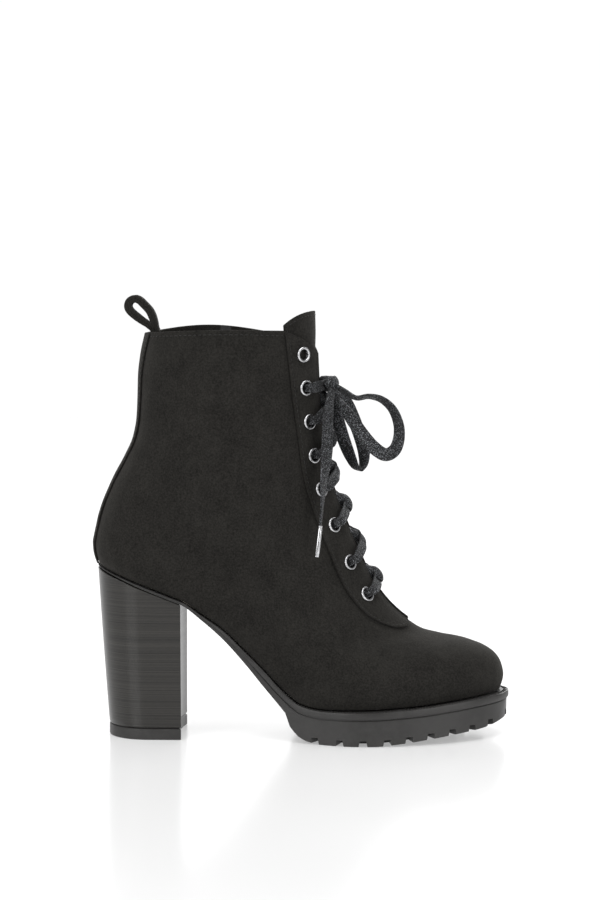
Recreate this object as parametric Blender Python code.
"""A right-foot lace-up ankle boot with a stacked block heel and a lugged platform sole.

Toe towards +X, outer side towards -Y, floor at Z = 0, in metres. The upper is wrapped round a last:
`last_point` gives the last's surface from a table of rings, and every soft piece is a flat sheet
pattern that is given a thickness and wrapped on that surface. Levels run from 0 at the sole to
COLLAR at the collar. The ring coordinate r is 0 down the front, +1 or -1 down the back of the heel,
positive on the inner side of the foot and negative on the outer side.
"""

from collections import namedtuple
from functools import lru_cache
from math import acos, cos, pi, radians, sin, sqrt

import bmesh
import bpy
from mathutils import Matrix, Vector

# Overall sizes
BOOT_LENGTH = 0.2366
COLLAR_HEIGHT = 0.2295
SEAT_HEIGHT = 0.0982
PLATFORM_HEIGHT = 0.0196
TOE_SPRING = 0.0110
TOE_LIFT = 0.0062

# Widths
BALL_WIDTH = 0.0815
HEEL_WIDTH = 0.0605
COLLAR_WIDTH = 0.0670
TOE_SWING = 0.0060
COLLAR_BOW = 0.0018
COLLAR_INNER_BOW = 0.0034
SOLE_BALL_WIDTH = 0.0860
SOLE_WAIST_WIDTH = 0.0560
SOLE_SEAT_WIDTH = 0.0550

# Walls and clearances
GAP = 0.0003
UPPER_WALL = 0.0018
STAY_WALL = 0.0013
STAY_LIFT = 0.00045
BACKSTAY_WALL = 0.0010
TONGUE_WALL = 0.0022
INSOLE_WALL = 0.0025
SHANK_DEPTH = 0.0123
SOLE_CLEAR = 0.0006
SOLE_LIP = 0.0037
SOLE_LIP_STEP = 0.0008
SOLE_SIDE_DRAFT = 0.0012

# Lugs
NOTCH_WIDTH = 0.0044
NOTCH_HEIGHT = 0.0033
NOTCH_REACH = 0.0130
TREAD_INSET = 0.0165
TREAD_DEPTH = 0.0028
CLEAT_ARM = 0.0066
CLEAT_BAR = 0.0046

# Heel
HEEL_BREAST = 0.2145
HEEL_FOOT_BACK = 0.0345
HEEL_FOOT_WIDTH = 0.0490
HEEL_HOLLOW = 0.0026
HEEL_TIP_HEIGHT = 0.0066
HEEL_TIP_INSET = 0.0004

# Eyelets and laces
EYELET_COUNT = 8
EYELET_RADIUS = 0.0045
EYELET_HOLE = 0.0024
EYELET_BARREL = 0.0029
EYELET_RISE = 0.0013
EYELET_SEAT = 0.0006
LACE_WIDTH = 0.0078
LACE_THICKNESS = 0.0014
KNOT_DEPTH = 0.0072
KNOT_WIDTH = 0.0130
KNOT_HEIGHT = 0.0096
KNOT_PLACE = (0.0148, 0.0, 0.1995)
KNOT_PINCH = 0.0048
AGLET_LENGTH = 0.0175
AGLET_RADIUS = 0.0013

# Pull loop
LOOP_WIDTH = 0.0100
LOOP_THICKNESS = 0.0020
LOOP_RISE = 0.0210
LOOP_LEAN = 0.0160

# Zip
SLIDER_LEVEL = 16.0
SLIDER_SEAT = 0.0007
SLIDER_LENGTH = 0.0095
SLIDER_WIDTH = 0.0074
SLIDER_HEIGHT = 0.0022
CROWN_WIDTH = 0.0024
CROWN_HEIGHT = 0.0034
PIVOT_HEIGHT = 0.0039
PIVOT_RADIUS = 0.0007
PIVOT_CLEARANCE = 0.0003
TAB_LENGTH = 0.0230
TAB_WIDTH = 0.0060
TAB_THICKNESS = 0.0012
TAB_WINDOW = 0.0048

COLLAR = 17
THROAT_FOOT = 8
ZIP_FOOT = 10
OUTER, INNER = -1, 1

# One row for each level. back_x and front_x are shares of the boot's length from the heel; back_z is a
# share of the rise from heel seat to collar, front_z of the rise from toe to collar. sag is how much of
# the arch of the sole line the ring keeps. heel, waist and ball are shares of the foot's own widths,
# shaft blends them into the collar's width, and the ends are the rounded shares of the ring's length.
# bow is the share of the collar's upward bow over the ankle.
Ring = namedtuple("Ring", "back_x back_z front_x front_z sag heel waist ball shaft heel_end toe_end bow")
RINGS = [
    Ring(0.0120, 0.000, 0.979, 0.000, 1.00, 0.86, 0.645, 0.940, 0.00, 0.130, 0.330, 0.00),
    Ring(0.0060, 0.029, 0.987, 0.037, 1.00, 0.935, 0.675, 0.980, 0.00, 0.130, 0.330, 0.00),
    Ring(0.0024, 0.059, 0.980, 0.075, 1.00, 0.98, 0.700, 1.000, 0.00, 0.135, 0.330, 0.00),
    Ring(0.0014, 0.090, 0.9645, 0.101, 1.00, 1.00, 0.720, 1.000, 0.00, 0.140, 0.335, 0.00),
    Ring(0.0042, 0.120, 0.939, 0.120, 1.00, 1.00, 0.735, 0.990, 0.00, 0.150, 0.340, 0.00),
    Ring(0.0088, 0.158, 0.8905, 0.140, 1.00, 1.00, 0.750, 0.975, 0.00, 0.160, 0.360, 0.00),
    Ring(0.0136, 0.197, 0.840, 0.152, 1.00, 1.00, 0.760, 0.960, 0.00, 0.170, 0.380, 0.00),
    Ring(0.0190, 0.231, 0.793, 0.165, 1.00, 0.995, 0.770, 0.940, 0.03, 0.180, 0.400, 0.00),
    Ring(0.0262, 0.269, 0.757, 0.190, 1.00, 0.99, 0.777, 0.920, 0.06, 0.195, 0.420, 0.00),
    Ring(0.0378, 0.318, 0.717, 0.230, 0.97, 0.98, 0.785, 0.895, 0.11, 0.210, 0.430, 0.00),
    Ring(0.0535, 0.379, 0.673, 0.298, 0.92, 0.97, 0.790, 0.870, 0.18, 0.235, 0.440, 0.00),
    Ring(0.0790, 0.463, 0.632, 0.404, 0.78, 0.96, 0.790, 0.840, 0.30, 0.280, 0.445, 0.00),
    Ring(0.0995, 0.547, 0.594, 0.512, 0.60, 0.95, 0.790, 0.820, 0.45, 0.340, 0.450, 0.00),
    Ring(0.1085, 0.634, 0.567, 0.611, 0.42, 0.95, 0.790, 0.810, 0.60, 0.400, 0.460, 0.00),
    Ring(0.1110, 0.722, 0.556, 0.709, 0.26, 0.96, 0.800, 0.810, 0.74, 0.430, 0.470, 0.05),
    Ring(0.1125, 0.813, 0.548, 0.807, 0.13, 0.98, 0.810, 0.810, 0.86, 0.440, 0.475, 0.25),
    Ring(0.1185, 0.905, 0.545, 0.905, 0.04, 1.00, 0.820, 0.820, 0.95, 0.450, 0.480, 0.60),
    Ring(0.1300, 1.000, 0.543, 1.000, 0.00, 1.00, 0.820, 0.820, 1.00, 0.455, 0.485, 1.00),
]

# Where the last's widths are read, as shares of a ring's length, and how its centre line swings.
HEEL_STATION, WAIST_STATION, BALL_STATION, BALL_SKEW = 0.13, 0.43, 0.675, 0.03
Swing = namedtuple("Swing", "along centre")
SWINGS = [Swing(0.0, 0.0), Swing(0.43, -0.42), Swing(0.675, -0.20), Swing(0.85, 0.45), Swing(1.0, 1.0)]

# The sole from heel to platform. along is a share of the boot's length; rise is a share of the height
# from platform to heel seat, and depth a share of SHANK_DEPTH.
Shank = namedtuple("Shank", "along rise depth")
SHANKS = [
    Shank(0.0090, 1.000, 0.160),
    Shank(0.1200, 0.872, 0.175),
    Shank(0.1920, 0.789, 0.187),
    Shank(0.2200, 0.757, 0.195),
    Shank(0.2640, 0.667, 0.270),
    Shank(0.3130, 0.565, 0.450),
    Shank(0.3660, 0.413, 0.600),
    Shank(0.4150, 0.264, 0.810),
    Shank(0.4400, 0.180, 0.850),
    Shank(0.4735, 0.083, 1.000),
]
# The platform. lift is a share of TOE_LIFT for its top, clear a share of TOE_SPRING for its underside.
Platform = namedtuple("Platform", "along rise lift clear")
PLATFORMS = [
    Platform(0.4765, 0.076, 0.000, 0.760),
    Platform(0.4950, 0.035, 0.000, 0.330),
    Platform(0.5200, 0.012, 0.000, 0.090),
    Platform(0.5550, 0.000, 0.000, 0.000),
    Platform(0.6680, 0.000, 0.060, 0.000),
    Platform(0.7350, 0.000, 0.190, 0.110),
    Platform(0.8000, 0.000, 0.350, 0.270),
    Platform(0.8700, 0.000, 0.610, 0.450),
    Platform(0.9400, 0.000, 0.850, 0.640),
    Platform(1.0000, 0.000, 1.000, 1.000),
]
SOLE_HEEL_END, SOLE_TOE_END = 0.130, 0.335

# Edges on the wrapped sheets, as ring coordinates for each level.
Edge = namedtuple("Edge", "level throat stay zip_half backstay")
EDGES = [
    Edge(0, 0.060, 0.190, 0.0120, 0.950),
    Edge(6, 0.056, 0.190, 0.0120, 0.948),
    Edge(8, 0.044, 0.192, 0.0125, 0.945),
    Edge(9, 0.050, 0.203, 0.0130, 0.942),
    Edge(10, 0.058, 0.216, 0.0135, 0.938),
    Edge(12, 0.075, 0.238, 0.0155, 0.928),
    Edge(14, 0.091, 0.248, 0.0175, 0.912),
    Edge(15.6, 0.100, 0.266, 0.0190, 0.897),
    Edge(17, 0.108, 0.291, 0.0200, 0.880),
]
ZIP_LINE = 0.540

# Eyelets run evenly between these levels, this share of the way from the throat to the stay's back edge.
EYELET_TOP_LEVEL, EYELET_FOOT_LEVEL, EYELET_SHARE = 16.33, 9.70, 0.60

# The facing's foot on the vamp: level of its edge, from its back edge to the throat.
StayFoot = namedtuple("StayFoot", "share level")
STAY_FOOT = [
    StayFoot(0.00, 8.95), StayFoot(0.11, 8.30), StayFoot(0.28, 7.84),
    StayFoot(0.50, 7.70), StayFoot(0.75, 7.78), StayFoot(1.00, 8.05),
]
COLLAR_FALL, CORNER_FALL = 0.42, 0.20


def along(share):
    """X of a share of the boot's length, from the back of the heel. The backstay lies outside it, so
    half its lift centres the whole boot."""
    fullest_back = min(row.back_x for row in RINGS) * BOOT_LENGTH
    return (share - 0.5) * BOOT_LENGTH + (BACKSTAY_WALL + GAP - fullest_back) / 2


def blend(a, b, share):
    return a + (b - a) * share


def table_value(keys, values, at):
    """A smooth curve through a table that never overshoots it, straight beyond its ends."""
    steps = [(values[i + 1] - values[i]) / (keys[i + 1] - keys[i]) for i in range(len(keys) - 1)]
    slopes = [steps[0]]
    for before, after in zip(steps, steps[1:]):
        slopes.append(0.0 if before * after <= 0 else 2 * before * after / (before + after))
    slopes.append(steps[-1])
    if at <= keys[0]:
        return values[0] + slopes[0] * (at - keys[0])
    if at >= keys[-1]:
        return values[-1] + slopes[-1] * (at - keys[-1])
    i = max(k for k in range(len(keys) - 1) if keys[k] <= at)
    width = keys[i + 1] - keys[i]
    t = (at - keys[i]) / width
    return (
        (1 + 2 * t) * (1 - t) ** 2 * values[i]
        + t * (1 - t) ** 2 * width * slopes[i]
        + t * t * (3 - 2 * t) * values[i + 1]
        + t * t * (t - 1) * width * slopes[i + 1]
    )


def column(table, key, name, at):
    return table_value([getattr(row, key) for row in table], [getattr(row, name) for row in table], at)


def ring(name, level):
    return table_value(range(len(RINGS)), [getattr(row, name) for row in RINGS], level)


def edge(name, level):
    return column(EDGES, "level", name, min(max(level, 0), COLLAR + 1))


def rounded_ends(share, heel_end, toe_end):
    """Width share of an outline with elliptical ends."""
    if share < heel_end:
        return sqrt(max(0.0, 1 - ((heel_end - share) / heel_end) ** 2))
    if toe_end and share > 1 - toe_end:
        return sqrt(max(0.0, 1 - ((share - 1 + toe_end) / toe_end) ** 2))
    return 1.0


def sole_top(x):
    """Height of the seam between sole and upper at x."""
    share = (x - along(0)) / BOOT_LENGTH
    rises = [(row.along, row.rise) for row in SHANKS + PLATFORMS]
    rise = table_value([k for k, _ in rises], [v for _, v in rises], share)
    lift = 0.0
    if share > PLATFORMS[0].along:
        lift = column(PLATFORMS, "along", "lift", share)
    return PLATFORM_HEIGHT + rise * (SEAT_HEIGHT - PLATFORM_HEIGHT) + lift * TOE_LIFT


def sole_dip(x):
    """How far the sole's seam lies above a straight line from heel seat to toe."""
    seam_back, seam_front = along(RINGS[0].back_x), along(RINGS[0].front_x)
    share = (x - seam_back) / (seam_front - seam_back)
    return sole_top(x) - blend(SEAT_HEIGHT, PLATFORM_HEIGHT + TOE_LIFT, share)


def sole_under(x):
    """Height of the sole's underside at x."""
    share = (x - along(0)) / BOOT_LENGTH
    if share > SHANKS[-1].along:
        return TOE_SPRING * column(PLATFORMS, "along", "clear", share)
    return sole_top(x) - SHANK_DEPTH * column(SHANKS, "along", "depth", share)


def sole_side(share, side, inset):
    """Y of the sole's edge before it is centred."""
    ball = BALL_STATION + side * BALL_SKEW
    stations = [HEEL_STATION, WAIST_STATION, ball, 1.0]
    widths = [SOLE_SEAT_WIDTH, SOLE_WAIST_WIDTH, SOLE_BALL_WIDTH, SOLE_BALL_WIDTH]
    half = table_value(stations, widths, max(share, HEEL_STATION)) / 2 - inset
    swing = TOE_SWING * column(SWINGS, "along", "centre", share)
    return swing + side * half * rounded_ends(share, SOLE_HEEL_END, SOLE_TOE_END)


@lru_cache
def sole_middle():
    """Middle of the sole's widest reach to each side, which lies on Y = 0."""
    shares = [k / 200 for k in range(201)]
    low = min(sole_side(share, OUTER, 0) for share in shares)
    high = max(sole_side(share, INNER, 0) for share in shares)
    return (low + high) / 2


def centre_line(share, level):
    """Sideways swing of the foot towards the big toe, fading out up the shaft."""
    swing = TOE_SWING * column(SWINGS, "along", "centre", share) - sole_middle()
    return swing * (1 - ring("shaft", min(level, COLLAR)))


def last_point(r, level):
    """A point on the last's surface."""
    r = (r + 1) % 2 - 1
    side = INNER if r >= 0 else OUTER
    share = (1 + cos(pi * r)) / 2
    back = Vector((along(ring("back_x", level)), SEAT_HEIGHT + ring("back_z", level) * (COLLAR_HEIGHT - SEAT_HEIGHT)))
    toe_top = PLATFORM_HEIGHT + TOE_LIFT
    front = Vector((along(ring("front_x", level)), toe_top + ring("front_z", level) * (COLLAR_HEIGHT - toe_top)))
    spot = back.lerp(front, share)
    arch = sole_dip(spot.x) - blend(sole_dip(back.x), sole_dip(front.x), share)
    ball = BALL_STATION + side * BALL_SKEW
    stations = [HEEL_STATION, WAIST_STATION, ball, 1.0]
    widths = [
        HEEL_WIDTH * ring("heel", level),
        BALL_WIDTH * ring("waist", level),
        BALL_WIDTH * ring("ball", level),
        BALL_WIDTH * ring("ball", level),
    ]
    foot = table_value(stations, widths, max(share, HEEL_STATION))
    width = blend(foot, COLLAR_WIDTH, ring("shaft", min(level, COLLAR)))
    half = width / 2 * rounded_ends(share, ring("heel_end", level), ring("toe_end", level))
    y = centre_line(share, level) + side * half
    bow = (COLLAR_INNER_BOW if side == INNER else COLLAR_BOW) * sin(pi * share) * ring("bow", level)
    return Vector((spot.x, y, spot.y + arch * ring("sag", min(level, COLLAR)) + bow))


def outward(r, level):
    """Unit normal of the last at a point."""
    step = 0.004
    across = last_point(r + step, level) - last_point(r - step, level)
    up = last_point(r, level + step * COLLAR) - last_point(r, max(level - step * COLLAR, 0))
    return across.cross(up).normalized()


def on_last(r, level, lift):
    """A point this far outside the last's surface."""
    return last_point(r, level) + outward(r, level) * lift


def collar_level(r):
    """Level of the collar's edge, which falls to a rounded corner at the throat."""
    stay, throat = edge("stay", COLLAR), edge("throat", COLLAR)
    share = min(max((stay - abs(r)) / (stay - throat), 0), 1)
    return COLLAR - COLLAR_FALL * share - CORNER_FALL * share**8


def below_collar(r, level):
    """Eases the rows over the last two levels down to the collar's edge."""
    share = max(0.0, level - (COLLAR - 2)) / 2
    return level - share * (COLLAR - collar_level(r))


def loft(sections):
    """Joins closed sections of equal size into a tube, and caps ends that don't close to a line."""
    bm = bmesh.new()
    size, last = len(sections[0]), len(sections) - 1
    grid = bmesh.ops.create_grid(bm, x_segments=last, y_segments=size, size=0.5)
    for v in grid["verts"]:
        i = round((v.co.x + 0.5) * last)
        j = round((v.co.y + 0.5) * size) % size
        v.co = sections[i][j]
    bmesh.ops.remove_doubles(bm, verts=bm.verts, dist=0.00002)
    bmesh.ops.holes_fill(bm, edges=[e for e in bm.edges if e.is_boundary], sides=0)
    return bm


def finish(bm, name, colour, roughness, metallic=0.0, smooth=True):
    """Closes up a mesh, turns its faces out and makes it an object with its own material."""
    bmesh.ops.remove_doubles(bm, verts=bm.verts, dist=0.00002)
    bmesh.ops.recalc_face_normals(bm, faces=bm.faces)
    mesh = bpy.data.meshes.new(name)
    bm.to_mesh(mesh)
    bm.free()
    if smooth:
        mesh.shade_smooth()
        mesh.set_sharp_from_angle(angle=radians(35))
    thing = bpy.data.objects.new(name, mesh)
    bpy.context.scene.collection.objects.link(thing)
    material = bpy.data.materials.new(name)
    material.use_nodes = True
    shader = material.node_tree.nodes["Principled BSDF"]
    shader.inputs["Base Color"].default_value = (*colour, 1)
    shader.inputs["Roughness"].default_value = roughness
    shader.inputs["Metallic"].default_value = metallic
    mesh.materials.append(material)
    return thing


SUEDE = ((0.018, 0.017, 0.017), 0.95)
RUBBER = ((0.045, 0.045, 0.047), 0.55)
STACK = ((0.050, 0.047, 0.045), 0.35)
LACE = ((0.020, 0.021, 0.023), 0.80)
LINING = ((0.230, 0.205, 0.175), 0.90)
STEEL = ((0.620, 0.620, 0.630), 0.25, 1.0)


def cutter(bm, name):
    """A mesh that only cuts others."""
    thing = finish(bm, name, (0.8, 0.1, 0.1), 0.5)
    thing.hide_render = True
    thing.display_type = "WIRE"
    return thing


def cut(thing, tool, operation="DIFFERENCE", overlapping=False):
    """Cuts one solid with another. Overlapping is for a cutter whose own parts may overlap."""
    modifier = thing.modifiers.new(tool.name, "BOOLEAN")
    modifier.operation = operation
    modifier.solver = "EXACT"
    modifier.object = tool
    modifier.use_self = overlapping


def sheet_pattern(across, up, dropped=None, ring_shaped=False):
    """A flat two-layer pattern over the unit square: layer 0 at z = 0 and its copy at z = 1, joined at
    every edge. dropped(p, q) is true where the sheet is cut away. A ring-shaped pattern has no edge
    where its ends p = 0 and p = 1 meet."""
    bm = bmesh.new()
    bmesh.ops.create_grid(bm, x_segments=across, y_segments=up, size=0.5)
    bmesh.ops.translate(bm, verts=bm.verts, vec=(0.5, 0.5, 0))
    if dropped:
        gone = [f for f in bm.faces if dropped(*f.calc_center_median()[:2])]
        bmesh.ops.delete(bm, geom=gone, context="FACES")
    made = bmesh.ops.extrude_face_region(bm, geom=bm.faces[:], use_keep_orig=True)
    lifted = [v for v in made["geom"] if isinstance(v, bmesh.types.BMVert)]
    bmesh.ops.translate(bm, verts=lifted, vec=(0, 0, 1))
    if ring_shaped:
        ends = [f for f in bm.faces if abs(f.calc_center_median().x - 0.5) > 0.4999]
        bmesh.ops.delete(bm, geom=ends, context="FACES_ONLY")
    return bm


def wrap(bm, place, low, high):
    """Wraps a flat pattern on the last: place(p, q) gives ring coordinate and level, low and high the
    two layers' distances outside the last."""
    for v in bm.verts:
        r, level = place(v.co.x, v.co.y)
        v.co = on_last(r, level, blend(low, high, v.co.z))
    return bm


# The upper's columns on one side: guide and how many columns lie before it.
SIDE_COLUMNS = [("throat", 2), ("stay", 3), ("zip_front", 4), ("zip_back", 1), ("backstay", 6), ("back", 2)]
HALF_COLUMN_COUNT = sum(count for _, count in SIDE_COLUMNS)
# Levels of the upper's rows, closer together where the instep bends.
UPPER_ROWS = [0, 1, 2, 3, 4, 5, 6, 7, 8, 8.5, 9, 9.5, 10, 10.5, 11, 11.5, 12, 13, 14, 15, 16, COLLAR]


def guide(name, level):
    """Ring coordinate of one of the upper's guide lines."""
    if name == "zip_front":
        return ZIP_LINE - edge("zip_half", level)
    if name == "zip_back":
        return ZIP_LINE + edge("zip_half", level)
    return 1.0 if name == "back" else edge(name, level)


def upper_column(index, level):
    """Ring coordinate of a column, counted from the front."""
    before, low = 0, 0.0
    for name, count in SIDE_COLUMNS:
        high = guide(name, level)
        if index <= before + count:
            return blend(low, high, (index - before) / count)
        before, low = before + count, high
    return 1.0


def columns_before(name):
    names = [n for n, _ in SIDE_COLUMNS]
    return sum(count for _, count in SIDE_COLUMNS[: names.index(name) + 1])


def build_upper():
    """Vamp, quarters and shaft as one hollow wall, open at sole, throat, zip and collar."""

    def row_level(q):
        row = q * (len(UPPER_ROWS) - 1)
        before = min(int(row), len(UPPER_ROWS) - 2)
        return blend(UPPER_ROWS[before], UPPER_ROWS[before + 1], row - before)

    def place(p, q):
        index = (p - 0.5) * 2 * HALF_COLUMN_COUNT
        level = row_level(q)
        r = upper_column(abs(index), level)
        return (r if index >= 0 else -r), below_collar(r, level)

    def dropped(p, q):
        index, level = (p - 0.5) * 2 * HALF_COLUMN_COUNT, row_level(q)
        in_throat = abs(index) < columns_before("throat") and level > THROAT_FOOT
        in_zip = columns_before("zip_front") < index < columns_before("zip_back") and level > ZIP_FOOT
        return in_throat or in_zip

    pattern = sheet_pattern(2 * HALF_COLUMN_COUNT, len(UPPER_ROWS) - 1, dropped, ring_shaped=True)
    bm = wrap(pattern, place, 0.0, -UPPER_WALL)
    return finish(bm, "upper", *SUEDE)


def build_eyestay(side, name):
    """The facing that carries the eyelets, with a round foot on the vamp and a sloped top."""

    def place(p, q):
        share = p**1.4
        level = blend(column(STAY_FOOT, "share", "level", share), COLLAR - 0.05, q)
        r = blend(edge("stay", level), edge("throat", level), share)
        return side * r, below_collar(r, level)

    bm = wrap(sheet_pattern(5, 20), place, STAY_LIFT, STAY_LIFT + STAY_WALL)
    return finish(bm, name, *SUEDE)


def build_backstay():
    """The strip that covers the back seam from collar to heel seat."""

    def place(p, q):
        level = blend(0.25, COLLAR - 0.05, q)
        half = 1 - edge("backstay", level)
        return 1 + (2 * p - 1) * half, level

    bm = wrap(sheet_pattern(4, 14), place, GAP, GAP + BACKSTAY_WALL)
    return finish(bm, "backstay", *SUEDE)


TONGUE_FOOT, TONGUE_TOP = 6.9, 17.62


def tongue_edge(level):
    """Ring coordinate of the tongue's side edge."""
    return table_value([6, 8, 12, 17], [0.10, 0.13, 0.20, 0.285], level)


def build_tongue():
    """The tongue under the facings, rising over the collar."""

    def place(p, q):
        across = abs(2 * p - 1)
        top = TONGUE_TOP - 0.45 * across**3.5
        level = blend(TONGUE_FOOT, top, q)
        return (2 * p - 1) * tongue_edge(level), level

    face = -(UPPER_WALL + 1.5 * GAP)
    bm = wrap(sheet_pattern(8, 20), place, face, face - TONGUE_WALL)
    return finish(bm, "tongue", *SUEDE)


def sole_outline(share, side, inset):
    """A point on the sole's outline in plan, moved in by inset."""
    back = along(SHANKS[0].along) + inset
    tip = along(PLATFORMS[-1].along) - inset
    return blend(back, tip, share), sole_side(share, side, inset) - sole_middle()


def sole_shares():
    """Stations along the sole, closer together at its rounded ends and at the platform's back edge."""
    back, tip = along(SHANKS[0].along), along(PLATFORMS[-1].along)
    even = [(1 - cos(pi * k / 28)) / 2 for k in range(29)]
    rows = [(along(row.along) - back) / (tip - back) for row in [*SHANKS[1:], *PLATFORMS[:5]]]
    return sorted([s for s in even if min(abs(s - r) for r in rows) > 0.010] + rows)


def build_outsole():
    """Seat, shank and platform in one rubber unit, with a lip round its top and lugs cut in below."""

    def section(share):
        points = []
        for side in (OUTER, INNER):
            column_points = []
            for inset, depth in ((0, 0.0), (0, 1.0), (SOLE_LIP_STEP, 1.15), (SOLE_SIDE_DRAFT, None)):
                x, y = sole_outline(share, side, inset)
                top, under = sole_top(x) - SOLE_CLEAR, sole_under(x)
                lip = min(SOLE_LIP, 0.4 * (top - under))
                column_points.append(Vector((x, y, under if depth is None else top - depth * lip)))
            points += column_points[::-1] if side == OUTER else column_points
        return points

    bm = loft([section(share) for share in sole_shares()])
    sole = finish(bm, "outsole", *RUBBER, smooth=False)
    cut(sole, build_notch_cutter(), overlapping=True)
    cut(sole, build_tread_cutter())
    return sole


# Notches between the edge lugs, as shares along the sole, on each side.
NOTCH_SHARES = [0.528, 0.587, 0.645, 0.704, 0.757, 0.809, 0.861, 0.910, 0.956]


def build_notch_cutter():
    """Boxes square to the outline that part the lugs round the platform's edge."""
    bm = bmesh.new()
    spots = [(share, side) for share in NOTCH_SHARES for side in (OUTER, INNER)] + [(0.9975, OUTER), (0.9975, INNER)]
    for share, side in spots:
        x, y = sole_outline(share, side, 0)
        ahead = Vector(sole_outline(min(share + 0.002, 1), side, 0)) - Vector(sole_outline(share - 0.002, side, 0))
        ahead.normalize()
        inward = Vector((ahead.y, -ahead.x)) * side
        floor = sole_under(x)
        centre = Vector((x, y)) + inward * (NOTCH_REACH / 2 - 0.002)
        turn = Matrix((
            (ahead.x, inward.x, 0, centre.x),
            (ahead.y, inward.y, 0, centre.y),
            (0, 0, 1, floor + NOTCH_HEIGHT - NOTCH_HEIGHT * 1.5),
            (0, 0, 0, 1),
        ))
        size = Matrix.Diagonal((NOTCH_WIDTH, NOTCH_REACH + 0.004, NOTCH_HEIGHT * 3, 1))
        bmesh.ops.create_cube(bm, size=1, matrix=turn @ size)
    return cutter(bm, "notch_cutter")


# Cross-shaped cleats left standing in the recess under the ball, as shares along the sole.
CLEAT_SHARES = [0.605, 0.675, 0.745, 0.815, 0.885]
TREAD_START, TREAD_END = 0.560, 0.935


def build_tread_cutter():
    """The recess under the forefoot, with the cleats taken out of it."""

    def section(share):
        points = []
        for side in (OUTER, INNER):
            x, y = sole_outline(share, side, TREAD_INSET)
            ceiling = sole_under(x) + TREAD_DEPTH
            pair = [Vector((x, y, ceiling - 3 * TREAD_DEPTH)), Vector((x, y, ceiling))]
            points += pair if side == OUTER else pair[::-1]
        return points

    bm = loft([section(blend(TREAD_START, TREAD_END, k / 10)) for k in range(11)])
    recess = cutter(bm, "tread_cutter")
    crosses = bmesh.new()
    for share in CLEAT_SHARES:
        x = sole_outline(share, OUTER, TREAD_INSET)[0]
        y = (sole_outline(share, OUTER, TREAD_INSET)[1] + sole_outline(share, INNER, TREAD_INSET)[1]) / 2
        arm, bar = CLEAT_ARM, CLEAT_BAR / 2
        corners = [(arm, bar), (bar, bar), (bar, arm), (-bar, arm), (-bar, bar), (-arm, bar)]
        corners += [(-u, -v) for u, v in corners]
        ring_of = [crosses.verts.new((x + u, y + v, sole_under(x) - 0.02)) for u, v in corners]
        face = crosses.faces.new(ring_of)
        raised = bmesh.ops.extrude_face_region(crosses, geom=[face], use_keep_orig=True)
        top = [v for v in raised["geom"] if isinstance(v, bmesh.types.BMVert)]
        bmesh.ops.translate(crosses, verts=top, vec=(0, 0, 0.04))
    cut(recess, cutter(crosses, "cleat_cutter"))
    return recess


def build_insole():
    """The sock inside the upper, resting on the sole."""

    def section(share):
        points = []
        for side in (OUTER, INNER):
            inset = UPPER_WALL + 3 * GAP
            x = blend(along(RINGS[0].back_x) + inset, along(RINGS[0].front_x) - inset, share)
            r = side * acos(2 * share - 1) / pi
            spot = last_point(r, 0)
            middle = centre_line(share, 0)
            y = middle + (spot.y - middle) * (1 - 2 * inset / (HEEL_WIDTH * RINGS[0].heel))
            low = Vector((x, y, sole_top(x) + GAP))
            pair = [low, low + Vector((0, 0, INSOLE_WALL))]
            points += pair if side == OUTER else pair[::-1]
        return points

    bm = loft([section((1 - cos(pi * k / 24)) / 2) for k in range(25)])
    return finish(bm, "insole", *LINING)


def heel_outline(count, rise):
    """Plan outline of the heel at a share of its height: round back, flat sides, hollow breast."""
    top_back, breast = along(SHANKS[0].along), along(HEEL_BREAST)
    bow = 0.14 * rise * (1 - rise)
    back = blend(along(HEEL_FOOT_BACK), top_back, rise + bow)
    width = blend(HEEL_FOOT_WIDTH, SOLE_SEAT_WIDTH - 2 * HEEL_TIP_INSET, rise**1.4)
    outline = []
    for side in (OUTER, INNER):
        edge_points = []
        for k in range(count):
            share = 1 - cos(pi / 2 * k / (count - 1))
            half = width / 2 * rounded_ends(share, 0.56, 0)
            edge_points.append(Vector((blend(back, breast, share), side * half)))
        outline += edge_points[::-1] if side == OUTER else edge_points[1:]
    hollow = []
    for k in range(1, 6):
        y = width / 2 * (1 - k / 3)
        hollow.append(Vector((breast - HEEL_HOLLOW * (1 - (2 * y / width) ** 2), y)))
    return outline + hollow


def build_heel(name, floors, look):
    """A stack of heel outlines. floors lists the share of height and the height rule of each."""
    sections = []
    for rise, height in floors:
        sections.append([Vector((p.x, p.y + heel_shift(), height(p.x))) for p in heel_outline(8, rise)])
    return finish(loft(sections), name, *look)


def heel_shift():
    """Y of the heel's middle line."""
    return centre_line(0.0, 0)


def build_heels():
    def height_at(rise):
        return lambda x: blend(HEEL_TIP_HEIGHT + GAP, sole_under(x) - GAP, rise)

    build_heel("heel_block", [(rise, height_at(rise)) for rise in (0.0, 0.33, 0.66, 1.0)], STACK)
    build_heel("heel_top_piece", [(0.0, lambda x: 0.0), (0.0, lambda x: HEEL_TIP_HEIGHT)], RUBBER)


def frame_at(r, level, lift):
    """Matrix whose Z axis points out of the last, X towards the front and Y up the shaft."""
    origin, out = on_last(r, level, lift), outward(r, level)
    up = last_point(r, level + 0.1) - last_point(r, level - 0.1)
    up = (up - out * up.dot(out)).normalized()
    side = up.cross(out)
    return Matrix((
        (side.x, up.x, out.x, origin.x),
        (side.y, up.y, out.y, origin.y),
        (side.z, up.z, out.z, origin.z),
        (0, 0, 0, 1),
    ))


def eyelet_place(index):
    """Ring coordinate and level of an eyelet, counted from the top."""
    level = blend(EYELET_TOP_LEVEL, EYELET_FOOT_LEVEL, index / (EYELET_COUNT - 1))
    return blend(edge("throat", level), edge("stay", level), EYELET_SHARE), level


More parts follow.
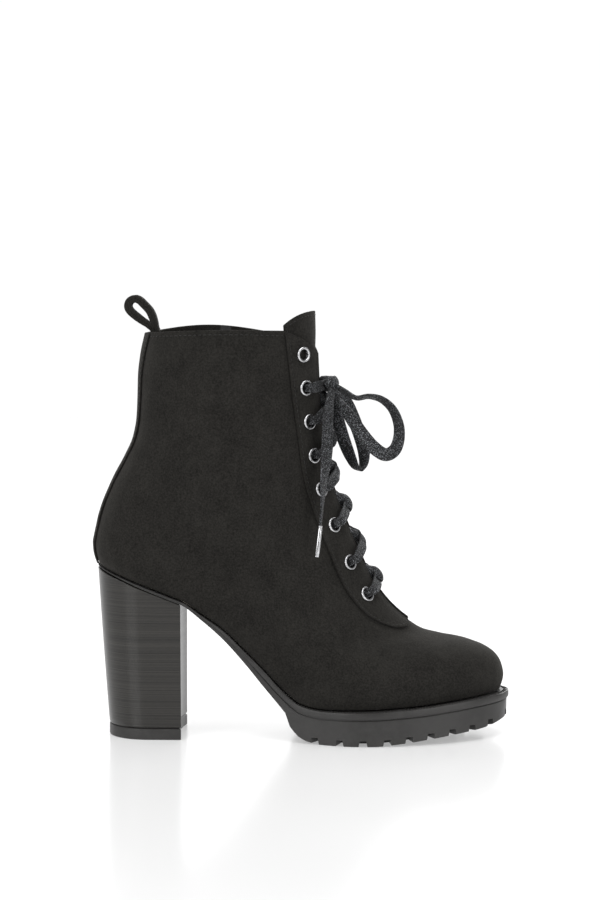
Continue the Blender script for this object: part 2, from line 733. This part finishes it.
def build_eyelet(name, where):
    """A rolled metal eyelet: a flange on the facing and a barrel through facing and upper."""
    depth = STAY_LIFT + STAY_WALL + 0.5 * UPPER_WALL
    profile = [
        (EYELET_HOLE, -depth),
        (EYELET_BARREL, -depth),
        (EYELET_BARREL, EYELET_SEAT),
        (EYELET_RADIUS, EYELET_SEAT),
        (blend(EYELET_HOLE, EYELET_RADIUS, 0.62), EYELET_RISE),
        (EYELET_HOLE, blend(EYELET_SEAT, EYELET_RISE, 0.5)),
    ]
    bm = bmesh.new()
    verts = [bm.verts.new((radius, 0, height)) for radius, height in profile]
    edges = [bm.edges.new((verts[k - 1], verts[k])) for k in range(len(verts))]
    bmesh.ops.spin(
        bm, geom=verts + edges, cent=(0, 0, 0), axis=(0, 0, 1), angle=2 * pi, steps=8, use_merge=True
    )
    bmesh.ops.transform(bm, matrix=where, verts=bm.verts)
    return finish(bm, name, *STEEL)


def build_eyelets(carriers):
    """All eyelets, and the holes for them in the pieces that carry them."""
    for side, word in ((OUTER, "lateral"), (INNER, "medial")):
        holes = bmesh.new()
        for index in range(EYELET_COUNT):
            r, level = eyelet_place(index)
            where = frame_at(side * r, level, STAY_LIFT + STAY_WALL)
            build_eyelet(f"eyelet_{word}_{index + 1}", where)
            bmesh.ops.create_cone(
                holes,
                cap_ends=True,
                segments=12,
                radius1=EYELET_BARREL + GAP,
                radius2=EYELET_BARREL + GAP,
                depth=4 * (STAY_WALL + UPPER_WALL),
                matrix=where,
            )
        tool = cutter(holes, f"hole_cutter_{word}")
        for carrier in carriers[side]:
            cut(carrier, tool)


def band(points, faces_out, widths, thickness):
    """A flat strip along points. faces_out gives the direction its flat face looks at each point."""
    ahead = [points[min(i + 1, len(points) - 1)] - points[max(i - 1, 0)] for i in range(len(points))]
    sections = []
    for point, run, out, width in zip(points, ahead, faces_out, widths):
        across = run.cross(out).normalized() * (width / 2)
        out = across.cross(run).normalized() * (thickness / 2)
        sections.append([point - across - out, point + across - out, point + across + out, point - across + out])
    return loft(sections)


def scale_at(r, level):
    """Metres on the last for one unit of ring coordinate and for one level."""
    around = (last_point(r + 0.01, level) - last_point(r - 0.01, level)).length / 0.02
    upward = (last_point(r, level + 0.1) - last_point(r, level - 0.1)).length / 0.2
    return around, upward


def strip_place(start, end, half_width):
    """place(p, q) for a straight strip on the last, from one (ring coordinate, level) to another."""
    around, upward = scale_at(blend(start[0], end[0], 0.5), blend(start[1], end[1], 0.5))
    run = Vector(((end[0] - start[0]) * around, (end[1] - start[1]) * upward)).normalized()
    across = Vector((-run.y / around, run.x / upward)) * half_width

    def place(p, q):
        aside = 2 * q - 1
        r = blend(start[0], end[0], p) + across.x * aside
        return r, blend(start[1], end[1], p) + across.y * aside

    return place


LACE_REST = STAY_LIFT + STAY_WALL + EYELET_SEAT + GAP


def lace_run(start, end, extra):
    """A flat lace run laid on the last, raised by extra half way."""
    place = strip_place(start, end, 0.4 * LACE_WIDTH)
    bm = sheet_pattern(7, 1)
    for v in bm.verts:
        r, level = place(v.co.x, v.co.y)
        v.co = on_last(r, level, LACE_REST + extra * sin(pi * v.co.x) + v.co.z * LACE_THICKNESS)
    return bm


def crossing_run(index, side, extra):
    """A run from beside an eyelet over the throat to the far facing's edge."""
    r_low, low = eyelet_place(index)
    high = eyelet_place(index - 1)[1] - (0.44 if index == 2 else 0.10)
    start = side * (r_low - 0.036), low + 0.14
    end = side * -0.92 * edge("throat", high), high
    return lace_run(start, end, extra)


def build_lace_crossings():
    """The crossed runs over the throat, each pair joined where it crosses, and the two to the knot."""
    for index in range(2, EYELET_COUNT):
        under = finish(crossing_run(index, OUTER, 0.0), f"lace_crossing_{index - 1}", *LACE)
        over = crossing_run(index, INNER, 0.55 * LACE_THICKNESS)
        cut(under, cutter(over, f"lace_over_{index - 1}"), "UNION")
    r, level = eyelet_place(1)
    for side, word in ((OUTER, "outer"), (INNER, "inner")):
        start = side * (r - 0.037), level
        around = scale_at(0, level)[0]
        end = side * (KNOT_WIDTH / 2 + GAP) / around, level + 0.05
        finish(lace_run(start, end, 0.0), f"lace_run_{word}", *LACE)


# The bow's routes, chosen by hand, in metres. face is the turn of the flat lace about its own run, in
# degrees from facing the outer side.
Bend = namedtuple("Bend", "x y z face")
OUTER_LOOP = [
    Bend(0.0200, -0.0085, 0.1992, 60), Bend(0.0250, -0.0112, 0.1962, 62), Bend(0.0315, -0.0145, 0.1930, 70),
    Bend(0.0385, -0.0172, 0.1938, 68), Bend(0.0455, -0.0200, 0.1922, 60), Bend(0.0515, -0.0222, 0.1870, 52),
    Bend(0.0550, -0.0238, 0.1785, 42), Bend(0.0551, -0.0240, 0.1705, 34), Bend(0.0527, -0.0234, 0.1642, 26),
    Bend(0.0476, -0.0216, 0.1616, 20), Bend(0.0414, -0.0188, 0.1652, 16), Bend(0.0350, -0.0150, 0.1722, 16),
    Bend(0.0290, -0.0108, 0.1806, 24), Bend(0.0244, -0.0068, 0.1872, 38), Bend(0.0212, -0.0040, 0.1910, 50),
]
INNER_LOOP = [
    Bend(0.0198, 0.0072, 0.1925, 20), Bend(0.0206, 0.0076, 0.1825, 10), Bend(0.0224, 0.0080, 0.1735, 12),
    Bend(0.0250, 0.0083, 0.1655, 18), Bend(0.0280, 0.0087, 0.1580, 35), Bend(0.0310, 0.0094, 0.1520, 60),
    Bend(0.0338, 0.0106, 0.1503, 95), Bend(0.0356, 0.0118, 0.1540, 130), Bend(0.0356, 0.0125, 0.1610, 155),
    Bend(0.0337, 0.0125, 0.1690, 170), Bend(0.0306, 0.0115, 0.1775, 175), Bend(0.0273, 0.0092, 0.1855, 180),
    Bend(0.0244, 0.0060, 0.1922, 190), Bend(0.0220, 0.0030, 0.1967, 200),
]
OUTER_END = [
    Bend(0.0176, -0.0105, 0.1970, -50), Bend(0.0165, -0.0170, 0.1900, -45), Bend(0.0156, -0.0212, 0.1805, -40),
    Bend(0.0152, -0.0243, 0.1690, -40), Bend(0.0146, -0.0265, 0.1580, -45), Bend(0.0133, -0.0288, 0.1460, -65),
    Bend(0.0126, -0.0308, 0.1340, -80), Bend(0.0116, -0.0325, 0.1225, -80),
]
AGLET_RUN = Vector((-0.0020, -0.0018, -0.0172))


def mirrored(bends):
    """The same route on the inner side of the foot."""
    return [Bend(bend.x, -bend.y, bend.z, -bend.face) for bend in bends]


def bent_points(bends):
    """Points of a route, and where the flat lace looks at each."""
    points = [Vector(bend[:3]) for bend in bends]
    faces_out = []
    for index, bend in enumerate(bends):
        run = points[min(index + 1, len(points) - 1)] - points[max(index - 1, 0)]
        sideways = Vector((0, -1, 0)) - run * (Vector((0, -1, 0)).dot(run) / run.length_squared)
        faces_out.append(Matrix.Rotation(radians(bend.face), 3, run) @ sideways.normalized())
    return points, faces_out


def build_cord(bends, name, tied_ends):
    """A flat lace along its route, gathered where it comes out of the knot."""
    points, faces_out = bent_points(bends)
    widths = [LACE_WIDTH] * len(points)
    widths[0] = KNOT_PINCH
    if tied_ends == 2:
        widths[-1] = KNOT_PINCH
    finish(band(points, faces_out, widths, LACE_THICKNESS), name, *LACE)


def build_knot(routes):
    """The bow's knot, with a stub towards each lace that comes out of it."""
    bm = bmesh.new()
    size = Matrix.Diagonal((KNOT_DEPTH / 2, KNOT_WIDTH / 2, KNOT_HEIGHT / 2, 1))
    bmesh.ops.create_icosphere(bm, subdivisions=2, radius=1, matrix=Matrix.Translation(KNOT_PLACE) @ size)
    knot = finish(bm, "lace_knot", *LACE)
    for index, bends in enumerate(routes):
        points, faces_out = bent_points(bends)
        back = (points[0] - points[1]).normalized()
        tip = points[0] + back * GAP
        line = [Vector(KNOT_PLACE), tip + back * 0.6 * LACE_THICKNESS, tip]
        stub = band(line, [faces_out[0]] * 3, [KNOT_PINCH / 2, KNOT_PINCH, KNOT_PINCH], LACE_THICKNESS)
        cut(knot, cutter(stub, f"knot_stub_{index + 1}"), "UNION")


def build_aglet(bends, name, run):
    """The metal tip that clips the end of a lace."""
    tip = Vector(bends[-1][:3])
    way = run.normalized()
    start = tip + way * GAP
    turn = way.to_track_quat("Z", "Y").to_matrix().to_4x4()
    bm = bmesh.new()
    bmesh.ops.create_cone(
        bm,
        cap_ends=True,
        segments=10,
        radius1=AGLET_RADIUS,
        radius2=AGLET_RADIUS,
        depth=AGLET_LENGTH,
        matrix=Matrix.Translation(start + way * AGLET_LENGTH / 2) @ turn,
    )
    finish(bm, name, *STEEL)


def build_bow():
    inner_end = mirrored(OUTER_END)
    build_knot([OUTER_LOOP, OUTER_LOOP[::-1], INNER_LOOP, INNER_LOOP[::-1], OUTER_END, inner_end])
    build_cord(OUTER_LOOP, "lace_loop_outer", 2)
    build_cord(INNER_LOOP, "lace_loop_inner", 2)
    build_cord(OUTER_END, "lace_end_outer", 1)
    build_cord(inner_end, "lace_end_inner", 1)
    build_aglet(OUTER_END, "aglet_outer", AGLET_RUN)
    build_aglet(inner_end, "aglet_inner", Vector((AGLET_RUN.x, -AGLET_RUN.y, AGLET_RUN.z)))


# The pull loop's middle line seen from the side: lean is a share of LOOP_LEAN forward of the collar's
# back edge, rise a share of LOOP_RISE above it.
LoopPoint = namedtuple("LoopPoint", "lean rise")
LOOP_LINE = [
    LoopPoint(0.210, -0.500), LoopPoint(0.210, 0.020), LoopPoint(0.080, 0.170), LoopPoint(-0.350, 0.300),
    LoopPoint(-0.760, 0.480), LoopPoint(-0.900, 0.700), LoopPoint(-0.760, 0.900), LoopPoint(-0.420, 0.970),
    LoopPoint(-0.080, 0.860), LoopPoint(0.200, 0.600), LoopPoint(0.350, 0.280), LoopPoint(0.365, 0.020),
    LoopPoint(0.365, -0.500),
]


def build_pull_loop():
    """A folded tape whose two ends are sewn in behind the collar's back edge."""
    collar = last_point(1, COLLAR)
    start = collar.x + UPPER_WALL + 4 * GAP + LOOP_THICKNESS / 2 - LOOP_LINE[0].lean * LOOP_LEAN
    points = []
    for point in LOOP_LINE:
        points.append(Vector((start + point.lean * LOOP_LEAN, 0, collar.z + point.rise * LOOP_RISE)))
    ahead = [points[min(i + 1, len(points) - 1)] - points[max(i - 1, 0)] for i in range(len(points))]
    faces_out = [Vector((-run.z, 0, run.x)) for run in ahead]
    widths = [LOOP_WIDTH] * len(points)
    finish(band(points, faces_out, widths, LOOP_THICKNESS), "pull_loop", *SUEDE)


def build_zip():
    """The side zip: its closed chain in the slot, the slider at the top and the hinged pull tab."""

    def place(p, q):
        level = blend(ZIP_FOOT + 0.06, COLLAR - 0.12, q)
        half = edge("zip_half", level) - GAP / scale_at(ZIP_LINE, level)[0]
        return ZIP_LINE + (2 * p - 1) * half, level

    chain = wrap(sheet_pattern(2, 12), place, GAP, -UPPER_WALL)
    finish(chain, "zip_chain", *LACE)

    seat = frame_at(ZIP_LINE, SLIDER_LEVEL, SLIDER_SEAT)
    slider = bmesh.new()
    bmesh.ops.create_cube(slider, size=1, matrix=seat @ box(SLIDER_WIDTH, SLIDER_LENGTH, SLIDER_HEIGHT, z=0.5))
    slider = finish(slider, "zip_slider", *STEEL)
    crown = bmesh.new()
    rise = Matrix.Translation((0, 0, SLIDER_HEIGHT - GAP))
    bmesh.ops.create_cube(crown, size=1, matrix=seat @ rise @ box(CROWN_WIDTH, 2 * CROWN_HEIGHT, CROWN_HEIGHT, z=0.5))
    cut(slider, cutter(crown, "slider_crown"), "UNION")
    axis = seat @ Matrix.Translation((0, 0, PIVOT_HEIGHT)) @ Matrix.Rotation(pi / 2, 4, "Y")
    bore = bmesh.new()
    reach = PIVOT_RADIUS + PIVOT_CLEARANCE
    bmesh.ops.create_cone(
        bore, cap_ends=True, segments=12, radius1=reach, radius2=reach, depth=2 * CROWN_WIDTH, matrix=axis
    )
    cut(slider, cutter(bore, "slider_bore"))

    hang = seat @ Matrix.Translation((0, 0, PIVOT_HEIGHT))
    tab = bmesh.new()
    bmesh.ops.create_cone(
        tab, cap_ends=True, segments=12, radius1=PIVOT_RADIUS, radius2=PIVOT_RADIUS, depth=TAB_WIDTH, matrix=axis
    )
    tab = finish(tab, "zip_pull_tab", *STEEL)
    plate = bmesh.new()
    blank = Matrix.Translation((0, -TAB_LENGTH / 2, 0)) @ box(TAB_WIDTH, TAB_LENGTH, TAB_THICKNESS)
    bmesh.ops.create_cube(plate, size=1, matrix=hang @ blank)
    cut(tab, cutter(plate, "tab_plate"), "UNION")
    window = bmesh.new()
    depth = TAB_WINDOW
    opening = Matrix.Translation((0, -PIVOT_RADIUS - depth / 2, 0))
    opening = opening @ box(CROWN_WIDTH + 2 * PIVOT_CLEARANCE, depth, 4 * TAB_THICKNESS)
    bmesh.ops.create_cube(window, size=1, matrix=hang @ opening)
    cut(tab, cutter(window, "tab_window"))


def box(width, length, height, z=0.0):
    """Size matrix for a unit cube, with its foot at z = 0 where z is 0.5."""
    return Matrix.Translation((0, 0, z * height)) @ Matrix.Diagonal((width, length, height, 1))


def clear_scene():
    for thing in list(bpy.data.objects):
        bpy.data.objects.remove(thing)


def main():
    clear_scene()
    upper = build_upper()
    stays = {
        OUTER: build_eyestay(OUTER, "eyestay_lateral"),
        INNER: build_eyestay(INNER, "eyestay_medial"),
    }
    build_eyelets({side: [upper, stays[side]] for side in stays})
    build_backstay()
    build_pull_loop()
    build_tongue()
    build_insole()
    build_outsole()
    build_heels()
    build_lace_crossings()
    build_bow()
    build_zip()


main()
